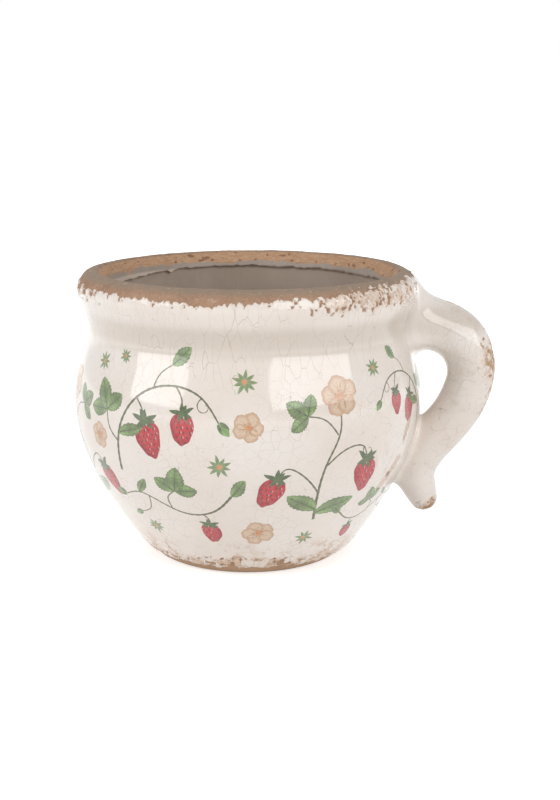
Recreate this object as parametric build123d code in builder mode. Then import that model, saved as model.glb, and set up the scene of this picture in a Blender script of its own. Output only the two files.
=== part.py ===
"""Cup-shaped earthenware planter with one handle, in millimetres.

The pot is a cast clay vessel with a thick rolled rim, a soft neck, a round belly and a small foot.
Its handle is cast separately. It leaves the neck, comes down past the belly and ends in a rounded spur.
Slip sticks the handle on: a ring of it rounds the corner at the neck, and a wad fills the corner
between the spur and the belly.
A glaze coat covers the outside from just above the foot to just below the rim's bare crest.
A thin grey coat lines the inside up to the trimmed edge of the mouth.

Frame: +Z up, origin at the centre of the foot on the table, +X towards the handle.
"""

from build123d import *
import os

# Outer form of the clay pot
height = 136.0  # table to the crest of the rim
foot_radius = 41.0
heel_radius, heel_height = 49.7, 6.8  # where the foot's corner turns into the flank
flank_radius, flank_height = 70.1, 37.3
belly_radius, belly_drop = 81.4, 59.2  # drops are measured down from the crest
rim_radius, rim_drop = 79.1, 11.2
neck_inset, neck_drop = 3.8, 22.0  # insets are measured in from the rim's widest circle
crest_inset = 8.1
crest_round = 1.4  # softened inner corner of the crest

# Wall, floor and mouth
wall = 7.0
floor_thickness = 9.5
floor_corner = 14.0  # how far the floor's round corner reaches in from the wall
throat_inset, throat_drop = 14.7, 6.2  # the knife-trimmed inner edge of the rim
throat_band = 2.6  # height of the trimmed band
throat_ledge = 2.0  # how far the ledge under the band slopes down to the wall

# Coats
glaze_thickness = 0.4
glaze_foot_edge = 6.5  # height of the glaze's lower edge
glaze_rim_drop = 6.0  # crest to the glaze's upper edge
lining_thickness = 0.3

# The pot's circles that the handle is set out from, as radius and height
belly_height = height - belly_drop
neck_radius, neck_height = rim_radius - neck_inset, height - neck_drop
neck = (neck_radius, neck_height)
belly = (belly_radius, belly_height)
flank = (flank_radius, flank_height)
heel = (heel_radius, heel_height)

# Handle: points on the tube's middle line, in the plane through the pot's axis
# upper and lower circle, share of the way down between them, distance out, half thickness, half width
handle_stations = [
    (neck, belly, 0.054, -13.6, 13.0, 12.6),
    (neck, belly, 0.048, -1.0, 13.6, 12.6),
    (neck, belly, 0.118, 11.7, 12.1, 12.0),
    (neck, belly, 0.285, 22.5, 11.9, 11.2),
    (neck, belly, 0.683, 26.3, 11.0, 10.6),
    (neck, belly, 1.0, 22.1, 10.7, 10.4),
    (belly, flank, 0.284, 19.4, 10.4, 10.4),
    (belly, flank, 0.499, 14.7, 10.4, 10.6),
    (belly, flank, 0.724, 10.4, 10.2, 10.6),
    (belly, flank, 0.972, 10.4, 8.9, 9.4),
    (flank, heel, 0.226, 17.0, 7.5, 8.0),
    (flank, heel, 0.380, 22.2, 6.1, 6.5),
    (flank, heel, 0.554, 27.8, 5.7, 6.1),
]
tip_round = 5.4  # rounds the end of the spur

# Slip between pot and handle
neck_slip_radius = 5.4  # rounds the corner all round the upper root
wad_radius = 5.0  # the wad is a short rod from the middle of the spur's tip into the pot
wad_slope = 36.0  # degrees above level, towards the pot
wad_length = 27.0

# The profiles are drawn away from the handle, so that their seam stays clear of its roots
profile_plane = Plane(origin=(0, 0, 0), x_dir=(-1, 0, 0), z_dir=(0, 1, 0))
crest_radius = rim_radius - crest_inset
throat_radius = rim_radius - throat_inset
throat_top = height - throat_drop
throat_bottom = throat_top - throat_band
glaze_rim_edge = height - glaze_rim_drop
root_split_height = (neck_height + belly_height) / 2  # the upper root lies above this, the lower root below
over = 3.0  # how far a cutting body runs past what it cuts


def pot_form(skin):
    """The outer form of the pot, filled, and larger all round by skin."""
    with BuildPart() as form:
        with BuildSketch(profile_plane):
            with BuildLine():
                foot = Line((0, -skin), (foot_radius, -skin))
                lower = Spline(
                    foot @ 1,
                    (heel_radius + 0.8 * skin, heel_height - 0.6 * skin),
                    (flank_radius + 0.85 * skin, flank_height - 0.5 * skin),
                    (belly_radius + skin, belly_height),
                    tangents=[(1, 0.5), (0, 1)],
                )
                upper = Spline(
                    lower @ 1,
                    (neck_radius + skin, neck_height),
                    (rim_radius + skin, height - rim_drop),
                    (crest_radius, height + skin),
                    tangents=[(0, 1), (-1, 0)],
                )
                top = Line(upper @ 1, (0, height + skin))
                Line(top @ 1, foot @ 0)
            make_face()
        revolve(axis=Axis.Z)
    return form.part


def inner_space(coat):
    """The space inside the pot up to the trimmed edge, smaller all round by coat."""
    floor_height = floor_thickness + coat
    floor_radius = heel_radius - wall - floor_corner
    ledge_radius = neck_radius - wall + 0.2 - coat
    ledge_height = throat_bottom - throat_ledge - coat
    with BuildPart() as form:
        with BuildSketch(profile_plane):
            with BuildLine():
                floor = Line((0, floor_height), (floor_radius, floor_height))
                lower = Spline(
                    floor @ 1,
                    (heel_radius - 0.35 * wall - coat, floor_height + 0.4 * floor_corner),
                    (flank_radius - 0.85 * wall - coat, flank_height + 0.5 * wall),
                    (belly_radius - wall - coat, belly_height),
                    tangents=[(1, 0), (0, 1)],
                )
                upper = Spline(
                    lower @ 1,
                    (neck_radius - wall - coat, neck_height),
                    (ledge_radius, ledge_height),
                    tangents=[(0, 1), (0.1, 1)],
                )
                Polyline(
                    upper @ 1,
                    (throat_radius - coat, throat_bottom - coat),
                    (throat_radius - coat, throat_top),
                    (0, throat_top),
                    floor @ 0,
                )
            make_face()
        revolve(axis=Axis.Z)
    return form.part


def beside_pot(upper, lower, share, out):
    """A point in the handle's plane, part of the way down between two circles and moved out from the pot."""
    radius = upper[0] + share * (lower[0] - upper[0]) + out
    return Vector(radius, 0, upper[1] + share * (lower[1] - upper[1]))


def handle_form(skin):
    """The cast tube and its spur, running on into the pot's neck, thicker all round by skin."""
    with BuildPart() as form:
        with BuildLine():
            middle = Spline(*[beside_pot(*station[:4]) for station in handle_stations])
        for upper, lower, share, out, half, half_width in handle_stations:
            point = beside_pot(upper, lower, share, out)
            along = middle % middle.param_at_point(point)
            section = Plane(origin=point, x_dir=Vector(0, 1, 0).cross(along), z_dir=along)
            with BuildSketch(section):
                Ellipse(half + skin, half_width + skin)
        loft()
        spur_end = form.faces().sort_by(Axis.Z)[0]
        fillet(spur_end.edges(), tip_round)
    return form.part


def wad_form(skin):
    """The wad of slip between spur and belly, thicker all round by skin."""
    tip = beside_pot(*handle_stations[-2][:4])
    towards_pot = Vector(-1, 0, 0).rotate(Axis.Y, wad_slope)
    with BuildPart() as form:
        with BuildSketch(Plane(origin=tip, x_dir=(0, 1, 0), z_dir=towards_pot)):
            Circle(wad_radius + skin)
        extrude(amount=wad_length)
    return form.part


def rooted_form(skin, slip_radius):
    """Pot and handle as one filled form, with slip round the upper root unless slip_radius is 0."""
    with BuildPart() as form:
        add(pot_form(skin))
        add(handle_form(skin))
        roots = form.edges(Select.NEW)
        if slip_radius > 0:
            fillet(roots.filter_by(lambda edge: edge.center().Z > root_split_height), slip_radius)
    return form.part


def joined_form(skin):
    """Pot, handle and all slip as one filled form, larger all round by skin."""
    with BuildPart() as form:
        add(rooted_form(skin, neck_slip_radius - skin))
        add(wad_form(skin))
    return form.part


# The pot, hollowed down to its floor, with the mouth's slope cut from the crest to the trimmed edge
with BuildPart() as pot_body:
    add(pot_form(0))
    with BuildSketch(profile_plane):
        with BuildLine():
            Polyline(
                (0, throat_top),
                (throat_radius, throat_top),
                (crest_radius, height),
                (crest_radius, height + over),
                (0, height + over),
                close=True,
            )
        make_face()
    revolve(axis=Axis.Z, mode=Mode.SUBTRACT)
    add(inner_space(0), mode=Mode.SUBTRACT)
    crest_edge = pot_body.edges().filter_by(GeomType.CIRCLE).sort_by(Axis.Z)[-1]
    fillet(crest_edge, crest_round)
pot_body.part.label = "pot_body"

# The handle, trimmed to lie on the outside of the pot
with BuildPart() as handle:
    add(handle_form(0))
    add(pot_form(0), mode=Mode.SUBTRACT)
handle.part.label = "handle"

# The wad of slip in the corner between spur and belly
with BuildPart() as lower_slip_joint:
    add(wad_form(0))
    add(pot_form(0), mode=Mode.SUBTRACT)
    add(handle_form(0), mode=Mode.SUBTRACT)
lower_slip_joint.part.label = "lower_slip_joint"

# The ring of slip round the upper root is what the rooted form holds besides pot and handle
with BuildPart() as upper_slip_joint:
    add(rooted_form(0, neck_slip_radius))
    add(rooted_form(0, 0), mode=Mode.SUBTRACT)
upper_slip_joint.part.label = "upper_slip_joint"

# The glaze coat over pot, slip and handle, between its lower and upper edges
with BuildPart() as outer_glaze:
    add(joined_form(glaze_thickness))
    add(joined_form(0), mode=Mode.SUBTRACT)
    with Locations((0, 0, glaze_foot_edge)):
        Cylinder(2 * belly_radius, glaze_rim_edge - glaze_foot_edge, align=(Align.CENTER, Align.CENTER, Align.MIN),
                 mode=Mode.INTERSECT)
outer_glaze.part.label = "outer_glaze"

# The grey coat on the floor, the inner wall and the trimmed band
with BuildPart() as inner_coat:
    add(inner_space(0))
    add(inner_space(lining_thickness), mode=Mode.SUBTRACT)
inner_coat.part.label = "inner_coat"

os.makedirs("parts", exist_ok=True)
for piece in (pot_body, handle, upper_slip_joint, lower_slip_joint, outer_glaze, inner_coat):
    export_step(piece.part, f"parts/{piece.part.label}.step")
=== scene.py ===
"""Looks of the cup-shaped planter: worn clay, crackled glaze, grey inside and a printed sprig pattern."""

import bpy
import math
import numpy as np
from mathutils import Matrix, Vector


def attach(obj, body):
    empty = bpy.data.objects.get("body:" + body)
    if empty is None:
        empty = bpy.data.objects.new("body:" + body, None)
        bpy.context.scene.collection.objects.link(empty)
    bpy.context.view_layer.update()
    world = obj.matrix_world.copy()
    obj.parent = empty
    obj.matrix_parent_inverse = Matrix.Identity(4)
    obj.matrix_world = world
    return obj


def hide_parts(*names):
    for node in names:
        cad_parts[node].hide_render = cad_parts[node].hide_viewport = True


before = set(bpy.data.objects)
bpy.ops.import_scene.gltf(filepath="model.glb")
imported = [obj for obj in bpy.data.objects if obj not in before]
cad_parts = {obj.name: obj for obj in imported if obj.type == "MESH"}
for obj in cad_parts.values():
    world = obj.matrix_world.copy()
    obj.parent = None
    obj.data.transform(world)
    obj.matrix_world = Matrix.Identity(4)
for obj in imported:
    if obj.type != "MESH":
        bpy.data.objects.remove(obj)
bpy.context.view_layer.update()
MM = 0.001  # sizes below are in mm, and the frame is in metres
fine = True
coarse = 1 if fine else 2

# Small maths helpers


def step(low, high, value):
    """Smooth change from 0 to 1 between low and high."""
    t = np.clip((value - low) / (high - low), 0.0, 1.0)
    return t * t * (3 - 2 * t)


def lattice(i, j, k, seed):
    """A repeatable number from 0 to 1 for each whole-number point."""
    h = (i.astype(np.int64) * 374761393 + j.astype(np.int64) * 668265263
         + k.astype(np.int64) * 2147483647 + seed * 1274126177)
    h = (h ^ (h >> 13)) & 0xFFFFFFFF
    h = (h * 1274126177) & 0xFFFFFFFF
    h = h ^ (h >> 16)
    h = (h * 2246822519) & 0xFFFFFFFF
    return ((h ^ (h >> 15)) & 0xFFFFFF) / float(0xFFFFFF)


def noise(points, scale, seed, octaves=1):
    """Smooth noise from about -1 to 1 over points in mm, with features about scale mm across."""
    total = np.zeros(len(points))
    weight, size, norm = 1.0, scale, 0.0
    for octave in range(octaves):
        q = points / size + 100.0
        base = np.floor(q)
        f = q - base
        f = f * f * f * (f * (f * 6 - 15) + 10)
        i, j, k = (base[:, a].astype(np.int64) for a in range(3))
        value = np.zeros(len(points))
        for a in (0, 1):
            for b in (0, 1):
                for c in (0, 1):
                    w = (f[:, 0] if a else 1 - f[:, 0]) * (f[:, 1] if b else 1 - f[:, 1])
                    w = w * (f[:, 2] if c else 1 - f[:, 2])
                    value += w * lattice(i + a, j + b, k + c, seed + 17 * octave)
        total += weight * (2 * value - 1)
        norm += weight
        weight, size = 0.55 * weight, 0.5 * size
    return 1.6 * total / norm


def smooth_curve(points, spacing):
    """Points every spacing mm or so along a natural cubic spline through the given ones."""
    p = np.array(points, float)
    t = np.r_[0, np.cumsum(np.linalg.norm(np.diff(p, axis=0), axis=1))]
    n = len(t)
    h = np.diff(t)
    m = np.eye(n)
    rhs = np.zeros_like(p)
    for i in range(1, n - 1):
        m[i, i - 1:i + 2] = h[i - 1], 2 * (h[i - 1] + h[i]), h[i]
        rhs[i] = 6 * ((p[i + 1] - p[i]) / h[i] - (p[i] - p[i - 1]) / h[i - 1])
    second = np.linalg.solve(m, rhs)
    u = np.linspace(0, t[-1], max(int(t[-1] / spacing), 2) + 1)
    k = np.clip(np.searchsorted(t, u, side="right") - 1, 0, n - 2)
    a = ((t[k + 1] - u) / h[k])[:, None]
    b = ((u - t[k]) / h[k])[:, None]
    hk = h[k][:, None]
    return a * p[k] + b * p[k + 1] + ((a**3 - a) * second[k] + (b**3 - b) * second[k + 1]) * hk**2 / 6


def unit(vectors):
    """The same directions with a length of 1, one per row."""
    return vectors / np.linalg.norm(vectors, axis=1)[:, None]


def add_mesh(name, points, faces, colours=None, values=None):
    """A smooth-shaded object from points in mm, with colours and values kept as point attributes."""
    mesh = bpy.data.meshes.new(name)
    mesh.from_pydata(points * MM, [], faces)
    mesh.polygons.foreach_set("use_smooth", np.ones(len(mesh.polygons), bool))
    if colours is not None:
        layer = mesh.attributes.new("tint", "FLOAT_COLOR", "POINT")
        layer.data.foreach_set("color", np.c_[colours, np.ones(len(points))].ravel())
    for key, value in (values or {}).items():
        layer = mesh.attributes.new(key, "FLOAT", "POINT")
        layer.data.foreach_set("value", value)
    mesh.update()
    thing = bpy.data.objects.new(name, mesh)
    bpy.context.collection.objects.link(thing)
    return thing


def ring_faces(rows, columns, keep=None):
    """Faces of a sheet of rows by columns points that closes round on itself."""
    r, c = np.meshgrid(np.arange(rows - 1), np.arange(columns), indexing="ij")
    d = (c + 1) % columns
    quads = np.stack([r * columns + c, r * columns + d, (r + 1) * columns + d, (r + 1) * columns + c], -1)
    quads = quads.reshape(-1, 4)
    return quads if keep is None else quads[keep[quads].any(1)]


# The pot's outlines as radius and height in mm: bare clay outside from foot to crest, and the inner wall down
outside = smooth_curve([
    (40.2, 0.0), (43.9, 1.9), (49.9, 7.1), (57.4, 16.5), (66.1, 30.2), (75.0, 46.4), (80.1, 62.8),
    (81.4, 77.5), (79.3, 91.8), (75.9, 103.3), (75.0, 112.0), (77.4, 119.4), (79.1, 125.6), (78.8, 130.8),
    (76.6, 134.1), (73.6, 135.6), (71.2, 135.9),
], 0.1)
inner_wall = smooth_curve([
    (66.3, 128.3), (67.0, 124.0), (67.8, 118.0), (68.7, 110.5), (70.4, 102.5), (73.0, 91.0), (74.3, 77.0),
    (72.9, 62.0), (67.9, 47.0), (59.6, 32.0), (51.5, 20.0), (44.0, 13.4), (34.0, 10.2), (22.0, 9.6),
], 0.1)
slope_top = np.array((70.2, 135.6))
throat_top = np.array((64.7, 130.0))
floor_height = 9.5
glaze_thickness = 0.42
edge_taper = 0.5  # how far a coat thins out at its edge
middle = 0.05  # radius of the smallest ring round the axis


def outside_at(heights):
    """Radius of the clay and its outward direction at heights in mm."""
    z = outside[:, 1]
    tangent = unit(np.gradient(outside, axis=0))
    return (np.interp(heights, z, outside[:, 0]), np.interp(heights, z, tangent[:, 1]),
            np.interp(heights, z, -tangent[:, 0]))


def around(radius, height, angle):
    """Points in space from radius and height per row and angle per column."""
    r, z = np.asarray(radius)[:, None], np.asarray(height)[:, None]
    return np.stack([r * np.cos(angle)[None, :], r * np.sin(angle)[None, :],
                     np.broadcast_to(z, (len(z), len(angle)))], -1).reshape(-1, 3)


def body_wobble(points):
    """Slow unevenness of the cast wall, in mm."""
    return 0.22 * noise(points, 46, 3) + 0.07 * noise(points, 17, 4)


def glaze_surface(angle, height, lift):
    """Points on the glaze's outer face at angle and height, lifted by lift mm."""
    r, nr, nz = outside_at(height)
    base = np.stack([r * np.cos(angle), r * np.sin(angle), height], -1)
    out = np.stack([nr * np.cos(angle), nr * np.sin(angle), nz], -1)
    return base + out * (glaze_thickness + lift + body_wobble(base))[:, None]


columns = 1400 // coarse
angles = np.arange(columns) * 2 * np.pi / columns
degrees = np.degrees((angles + np.pi) % (2 * np.pi) - np.pi)

# Where the glaze stops under the rim, by angle round the pot (-90 faces the camera, 0 is the handle)
edge_angle = [-180, -166, -149, -130, -122, -111, -102, -92, -83, -74, -63, -55, -45, -22, 0, 30, 60, 90,
              130, 180]
edge_height = [130.4, 130.7, 131.0, 130.8, 129.7, 129.8, 129.2, 129.8, 130.8, 131.3, 132.3, 133.7, 134.0,
               134.0, 133.4, 131.5, 130.4, 129.9, 131.0, 130.4]


def rim_edge(points, angle_degrees):
    """Height of the ragged upper edge of the glaze."""
    flat = points * (1, 1, 0)
    lobes = 1.15 * np.abs(noise(flat, 3.4, 21)) + 0.6 * np.abs(noise(flat, 1.4, 22))
    return np.interp(angle_degrees, edge_angle, edge_height) + lobes - 0.75 + 0.35 * noise(flat, 17, 23)


def wear(points, angle_degrees):
    """How strongly the glaze is eroded, from 0 to 1, by patches under the rim and above the foot."""
    z = points[:, 2]
    a = angle_degrees
    right_patch = 0.74 * step(-74, -60, a) * (1 - step(-26, -12, a)) * step(122.5, 128, z)
    left_patch = (1 - step(-158, -142, a)) * step(-180.5, -176, a) * step(124.5, 128.5, z)
    back_patch = step(95, 110, a) * (1 - step(150, 165, a)) * step(123, 129, z)
    front_nicks = 0.24 * step(127.6, 129.8, z)
    foot = 0.55 * (1 - step(5.5, 12.0, z))
    patches = [right_patch, 0.8 * left_patch, 0.9 * back_patch, front_nicks, foot]
    return np.clip(np.maximum.reduce(patches), 0, 1)


def glaze_lift(points, angle_degrees):
    """Height of the glaze over the clay in mm, below zero where the clay is bare, with its stain and soil."""
    z = points[:, 2]
    top = (rim_edge(points, angle_degrees) - z) / edge_taper
    foot_noise = noise(points, 9, 31, 2)
    foot_line = 4.4 + 0.8 * foot_noise + 0.9 * np.abs(noise(points, 2.2, 32))
    bottom = (z - foot_line) / edge_taper
    cover = np.minimum(top, bottom)
    w = wear(points, angle_degrees)
    speckle = noise(points, 1.7, 41, 2) + 0.4 * noise(points, 6.5, 42)
    pits = (0.86 - 0.92 * w) - speckle
    cover = np.minimum(cover, 3.2 * pits + 9.0 * (w < 0.02))
    lift = np.clip(cover, -0.5, 1.0)
    bead = 0.10 * np.exp(-((cover - 1.4) / 0.9) ** 2)
    covered = glaze_thickness * np.sqrt(np.clip(lift, 0, 1)) + bead * step(0, 0.4, lift)
    height = np.where(lift > 0, covered, 0.5 * lift)
    stain = np.exp(-np.clip(cover, 0, 9) / 0.9) * (0.12 + 0.75 * w)
    patch = noise(points, 12, 51, 3)
    soil = (1 - step(11, 22, z)) * step(-0.5, 0.4, patch + 0.8 * (1 - step(6, 13, z)))
    soil = np.maximum(soil, 0.7 * step(0.35, 0.9, w) * step(120, 124, z))
    return height, np.clip(stain, 0, 1), soil


def streak_reach(points, centre, along, length, width):
    """How far points lie from a streak's centre, as a share of its half length and half width."""
    d = points - np.array(centre, float)
    u = np.array(along, float)
    u /= np.linalg.norm(u)
    t = d @ u
    side = np.linalg.norm(d - t[:, None] * u, axis=1)
    return np.sqrt((t / length) ** 2 + (side / width) ** 2)


# Worn streaks beside the handle's lower root: centre, direction, half length and half width in mm, seed
body_scars = [
    ((72.9, -35.9, 69.8), (0.2, 0.3, 0.9), 8.5, 2.6, 61),
    ((66.1, -39.5, 50.5), (0.6, 0.4, 0.7), 7.0, 2.6, 62),
    ((62.0, -41.6, 44.5), (0.6, 0.4, 0.7), 5.5, 3.4, 63),
]
scar_depth = 0.26
# Soft dirt round the streaks: centre and size in mm
dirt = [((58.6, -52.9, 56.2), 7), ((66.1, -39.5, 50.5), 11), ((72.9, -35.9, 69.8), 9)]

# Glaze on the pot: rows close together at the rim and foot
rows_z = np.r_[np.arange(2.6, 20, 0.3 * coarse), np.arange(20, 120, 0.9 * coarse),
               np.arange(120, 135.6, 0.22 * coarse)]
r, nr, nz = outside_at(rows_z)
base = around(r, rows_z, angles)
out = around(nr, nz, angles)
col_degrees = np.tile(degrees, len(rows_z))
lift, stain, soil = glaze_lift(base, col_degrees)
for *streak, seed in body_scars:
    worn = 1 - step(0.75, 1.15, streak_reach(base, *streak) + 0.28 * noise(base, 2.2, seed, 2))
    lift = lift - scar_depth * worn
    stain = np.maximum(stain, 0.92 * worn)
for centre, size in dirt:
    d = np.linalg.norm(base - np.array(centre), axis=1) / size
    stain = np.maximum(stain, 0.34 * np.exp(-d * d) * step(-0.3, 0.5, noise(base, 5, 71, 3)))
glaze_points = base + out * (lift + body_wobble(base))[:, None]
glaze_faces = ring_faces(len(rows_z), columns, lift > -0.12)
pot_glaze = add_mesh("pot_glaze", glaze_points, glaze_faces, values={"stain": stain, "soil": soil})

# Bare clay of the pot: foot, outside, rolled rim, mouth's slope, trimmed band and ledge, inside and floor.
# The band's lower edge hangs by band_drop mm, by angle round the pot
band_drop_angle = [-180, -160, -140, -120, -100, -80, -60, -30, 0, 20, 60, 90, 110, 128, 140, 150, 165, 180]
band_drop = [3.0, 2.4, 1.2, 0.5, 0.2, 0.2, 0.6, 1.0, 1.0, 0.6, 0.1, 0.0, 0.2, 0.6, 1.7, 2.2, 2.9, 3.0]


def mouth_rows():
    """Rows from the crest down the slope, round the trimmed band and ledge to the floor's middle."""
    crest = [(70.6, 135.75), tuple(slope_top)]
    slope = [tuple(slope_top + (throat_top - slope_top) * t) for t in np.linspace(0, 1, 36 // coarse)[1:]]
    band = [(64.40, 129.8), (64.28, 129.55), (64.26, 129.3), (64.35, 129.1)]
    ledge = [(64.7, 128.9), (65.3, 128.75), (65.9, 128.6)]
    wall = [tuple(p) for p in inner_wall[::12 * coarse]]
    floor = [(radius, floor_height) for radius in (16.0, 8.0, middle)]
    return np.array(crest + slope + band + ledge + wall + floor)


def hang_share(points):
    """How much of the band's hang a point takes: all of it at the band, fading out above and below."""
    z = points[:, 2]
    return (1 - step(129.8, 133.8, z)) * step(108.0, 127.5, z)


def mouth_drop(points, angle_degrees):
    """How far the trimmed edge hangs below its usual height, in mm, with the knife's nicks."""
    flat = points * (1, 1, 0)
    nick = 1.1 * np.exp(-((angle_degrees - 126.5) / 1.6) ** 2)
    tremble = 0.32 * noise(flat, 6.5, 81, 2) + 0.18 * noise(flat, 1.9, 82)
    return np.interp(angle_degrees, band_drop_angle, band_drop) + nick + tremble


def clay_roughness(points):
    """Fine grain of the bare clay in mm."""
    return 0.05 * noise(points, 1.1, 91, 2) + 0.09 * noise(points, 5.5, 92, 2)


def pit_noise(points):
    """Noise that is highest where the clay has pits."""
    return noise(points, 2.0, 95, 2)


def outside_rows(low, high, spacing):
    """Rows of the outside from one height to another."""
    heights = np.arange(low, high, spacing)
    return np.c_[outside_at(heights)[0], heights]


def profile_normals(rows):
    """Direction away from the clay for each row."""
    t = unit(np.gradient(rows, axis=0))
    return np.c_[t[:, 1], -t[:, 0]]


outer_rows = np.r_[
    [(middle, 0.0), (20.0, 0.0), (36.0, 0.0), (38.5, 0.0)],
    outside_rows(0.15, 9, 0.35), outside_rows(9, 118, 2.0), outside_rows(118, 135.0, 0.3),
    outside[outside[:, 1] > 135.05][::4],
]
inner_rows = mouth_rows()
rows = np.r_[outer_rows, inner_rows]
n2 = profile_normals(rows)
base = around(rows[:, 0], rows[:, 1], angles)
out = around(n2[:, 0], n2[:, 1], angles)
col_degrees = np.tile(degrees, len(rows))
row_index = np.repeat(np.arange(len(rows)), columns)
inside = row_index >= len(outer_rows)
hang = np.where(inside, hang_share(base), 0.0)
pits = pit_noise(base)
slope_zone = inside & (base[:, 2] > 130.5)
pit_depth = np.where(slope_zone, 0.45 * step(0.62, 0.95, pits), 0.12 * step(0.75, 1.0, pits))
flat_foot = step(0.0, 2.0, base[:, 2])
unevenness = body_wobble(base) * (base[:, 2] > 2) + clay_roughness(base) - pit_depth
relief = np.where(inside, 1.0, flat_foot) * unevenness
clay_points = base + out * relief[:, None]
clay_points[:, 2] -= mouth_drop(base, col_degrees) * hang
clay_faces = ring_faces(len(rows), columns)
pot_clay = add_mesh("pot_clay", clay_points, clay_faces, values={"pit_painted_shade": step(0.62, 0.95, pits) * slope_zone})

# Grey coat on the inside: it starts part-way down the slope and covers everything below
coated = inner_rows[:, 1] < 134.6
coat_rows = inner_rows[coated]
n2 = profile_normals(inner_rows)[coated]
base = around(coat_rows[:, 0], coat_rows[:, 1], angles)
out = around(n2[:, 0], n2[:, 1], angles)
col_degrees = np.tile(degrees, len(coat_rows))
left_side = 1 - step(-150, -100, -np.abs(col_degrees))
flat = base * (1, 1, 0)
edge = 131.1 + 0.9 * left_side + 0.45 * noise(flat, 8, 101, 2) + 0.5 * noise(flat, 1.8, 102, 2)
coat_cover = (edge - base[:, 2]) / edge_taper
coat_lift = np.where(base[:, 2] > 129.4, np.clip(0.14 * coat_cover, -0.1, 0.13), 0.13)
coat_relief = body_wobble(base) + 0.6 * clay_roughness(base) + coat_lift
coat_relief = coat_relief - np.where(base[:, 2] > 130.5, 0.3 * step(0.62, 0.95, pit_noise(base)), 0)
coat_points = base + out * coat_relief[:, None]
coat_points[:, 2] -= mouth_drop(base, col_degrees) * hang_share(base)
inner_coat = add_mesh("inner_coat_worn", coat_points, ring_faces(len(coat_rows), columns, coat_lift > -0.05))

# Handle: distance fields of the pot's wall and of the cast tube, melted together.
# The tube's points are distance from the axis, height and half thickness in mm, and the field is a table over
# distance from the axis and height
tube = smooth_curve([
    (62.0, 112.0, 13.0), (74.6, 112.2, 13.6), (87.7, 109.6, 12.1), (99.5, 103.4, 11.9), (105.8, 88.6, 11.0),
    (103.5, 76.8, 10.7), (97.6, 65.6, 10.4), (90.5, 57.1, 10.4), (83.6, 48.2, 10.2), (80.8, 38.4, 8.9),
    (82.5, 30.4, 7.5), (84.5, 25.7, 6.1),
], 0.7)
field_low = np.array((46.0, -4.0))
field_step = 0.5
field_shape = (170, 296)
gr, gz = np.meshgrid(np.arange(field_shape[0]), np.arange(field_shape[1]), indexing="ij")
grid = np.stack([gr, gz], -1).reshape(-1, 2) * field_step + field_low
curve = outside[::3]
tangent = np.gradient(curve, axis=0)
wall_field = np.empty(len(grid))
block = 4000  # points worked out at a time, to save memory
for start in range(0, len(grid), block):
    part = grid[start:start + block]
    d2 = ((part[:, None, :] - curve[None]) ** 2).sum(-1)
    k = d2.argmin(1)
    side = np.sign((part - curve[k])[:, 0] * tangent[k, 1] - (part - curve[k])[:, 1] * tangent[k, 0])
    wall_field[start:start + block] = np.sqrt(d2[np.arange(len(k)), k]) * side
wall_field = wall_field.reshape(field_shape)


def wall_distance(points):
    """Distance from the pot's clay face, positive outside."""
    q = (np.stack([np.hypot(points[:, 0], points[:, 1]), points[:, 2]], -1) - field_low) / field_step
    q = np.clip(q, 0, np.array(field_shape) - 1.001)
    i = q.astype(int)
    f = q - i
    w = wall_field
    return ((w[i[:, 0], i[:, 1]] * (1 - f[:, 0]) + w[i[:, 0] + 1, i[:, 1]] * f[:, 0]) * (1 - f[:, 1])
            + (w[i[:, 0], i[:, 1] + 1] * (1 - f[:, 0]) + w[i[:, 0] + 1, i[:, 1] + 1] * f[:, 0]) * f[:, 1])


def tube_distance(points):
    """Distance from the cast tube."""
    best = np.full(len(points), 1e9)
    x, y2, z = points[:, 0], points[:, 1] ** 2, points[:, 2]
    for cx, cz, cr in tube:
        np.minimum(best, np.sqrt((x - cx) ** 2 + y2 + (z - cz) ** 2) - cr, out=best)
    return best


def melt_width(z):
    """How widely the tube runs into the pot: wide at the neck and under the spur, narrow at the belly."""
    return 4.2 + 6.5 * step(88, 104, z) + 6.0 * (1 - step(30, 42, z))


def handle_field(points, skin):
    """Distance from the melted form grown by skin, and how far it stands out of the pot's wall."""
    wall = wall_distance(points) - skin
    limb = tube_distance(points) - skin
    k = melt_width(points[:, 2])
    h = np.clip(0.5 + 0.5 * (wall - limb) / k, 0, 1)
    joined = wall + (limb - wall) * h - k * h * (1 - h)
    return joined, wall - joined


def handle_shape(points, skin):
    """The field that is meshed: it sinks a little into the pot's glaze where it no longer stands out."""
    joined, proud = handle_field(points, skin)
    clear = step(0.0, 3.0, proud)
    wobble = 0.16 * noise(points, 21, 111) * clear
    sink = 0.10 * (1 - step(0.02, 0.6, proud))
    return joined - body_wobble(points) * (1 - clear) - wobble + sink, proud


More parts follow.
